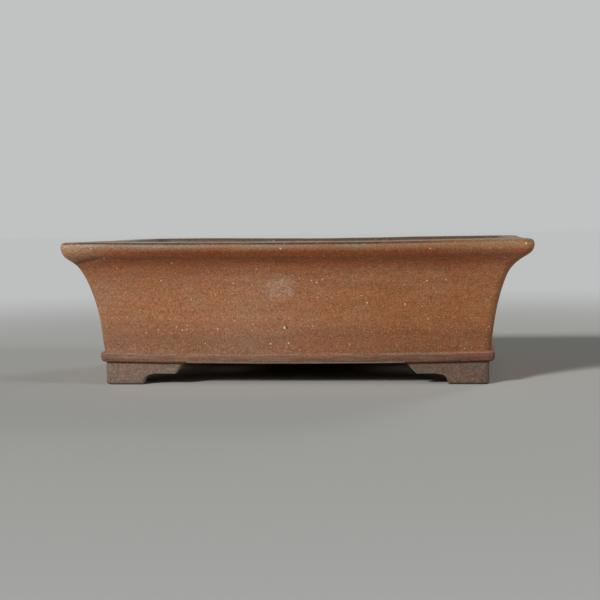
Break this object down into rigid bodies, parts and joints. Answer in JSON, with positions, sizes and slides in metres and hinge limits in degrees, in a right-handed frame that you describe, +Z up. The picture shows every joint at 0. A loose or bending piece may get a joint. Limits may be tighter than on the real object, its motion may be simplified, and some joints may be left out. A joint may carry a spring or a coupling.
{
  "type": "bonsai pot",
  "caption": "Rectangular unglazed stoneware bonsai pot with flared ogee walls, a rolled lip, a base band, bracket feet and drainage holes.",
  "frame": {"origin": "centre of the pot's footprint, on the plane that the four feet rest on", "axes": "+X along the long side to the right, -Y out of the front long side, +Z up out of the mouth"},
  "size_m": [0.4, 0.312, 0.125],
  "materials": {
    "wall_clay": "unglazed red-brown stoneware, matt, with pale grog specks",
    "lip_clay": "unglazed brown stoneware, satin where handled, greyer along the crown",
    "base_clay": "unglazed grey-brown stoneware, matt",
    "floor_clay": "unglazed brown stoneware, matt, wiped smooth by hand"
  },
  "bodies": {
    "root": {"floor_slab": "floor_clay", "wall_front": "wall_clay", "lip_front": "lip_clay", "band_front": "base_clay", "floor_coil_front": "floor_clay", "wall_back": "wall_clay", "lip_back": "lip_clay", "band_back": "base_clay", "floor_coil_back": "floor_clay", "wall_left": "wall_clay", "lip_left": "lip_clay", "band_left": "base_clay", "floor_coil_left": "floor_clay", "wall_right": "wall_clay", "lip_right": "lip_clay", "band_right": "base_clay", "floor_coil_right": "floor_clay", "corner_coil_front_left": "floor_clay", "foot_front_left": "base_clay", "corner_coil_front_right": "floor_clay", "foot_front_right": "base_clay", "corner_coil_back_left": "floor_clay", "foot_back_left": "base_clay", "corner_coil_back_right": "floor_clay", "foot_back_right": "base_clay"}
  },
  "joints": []
}
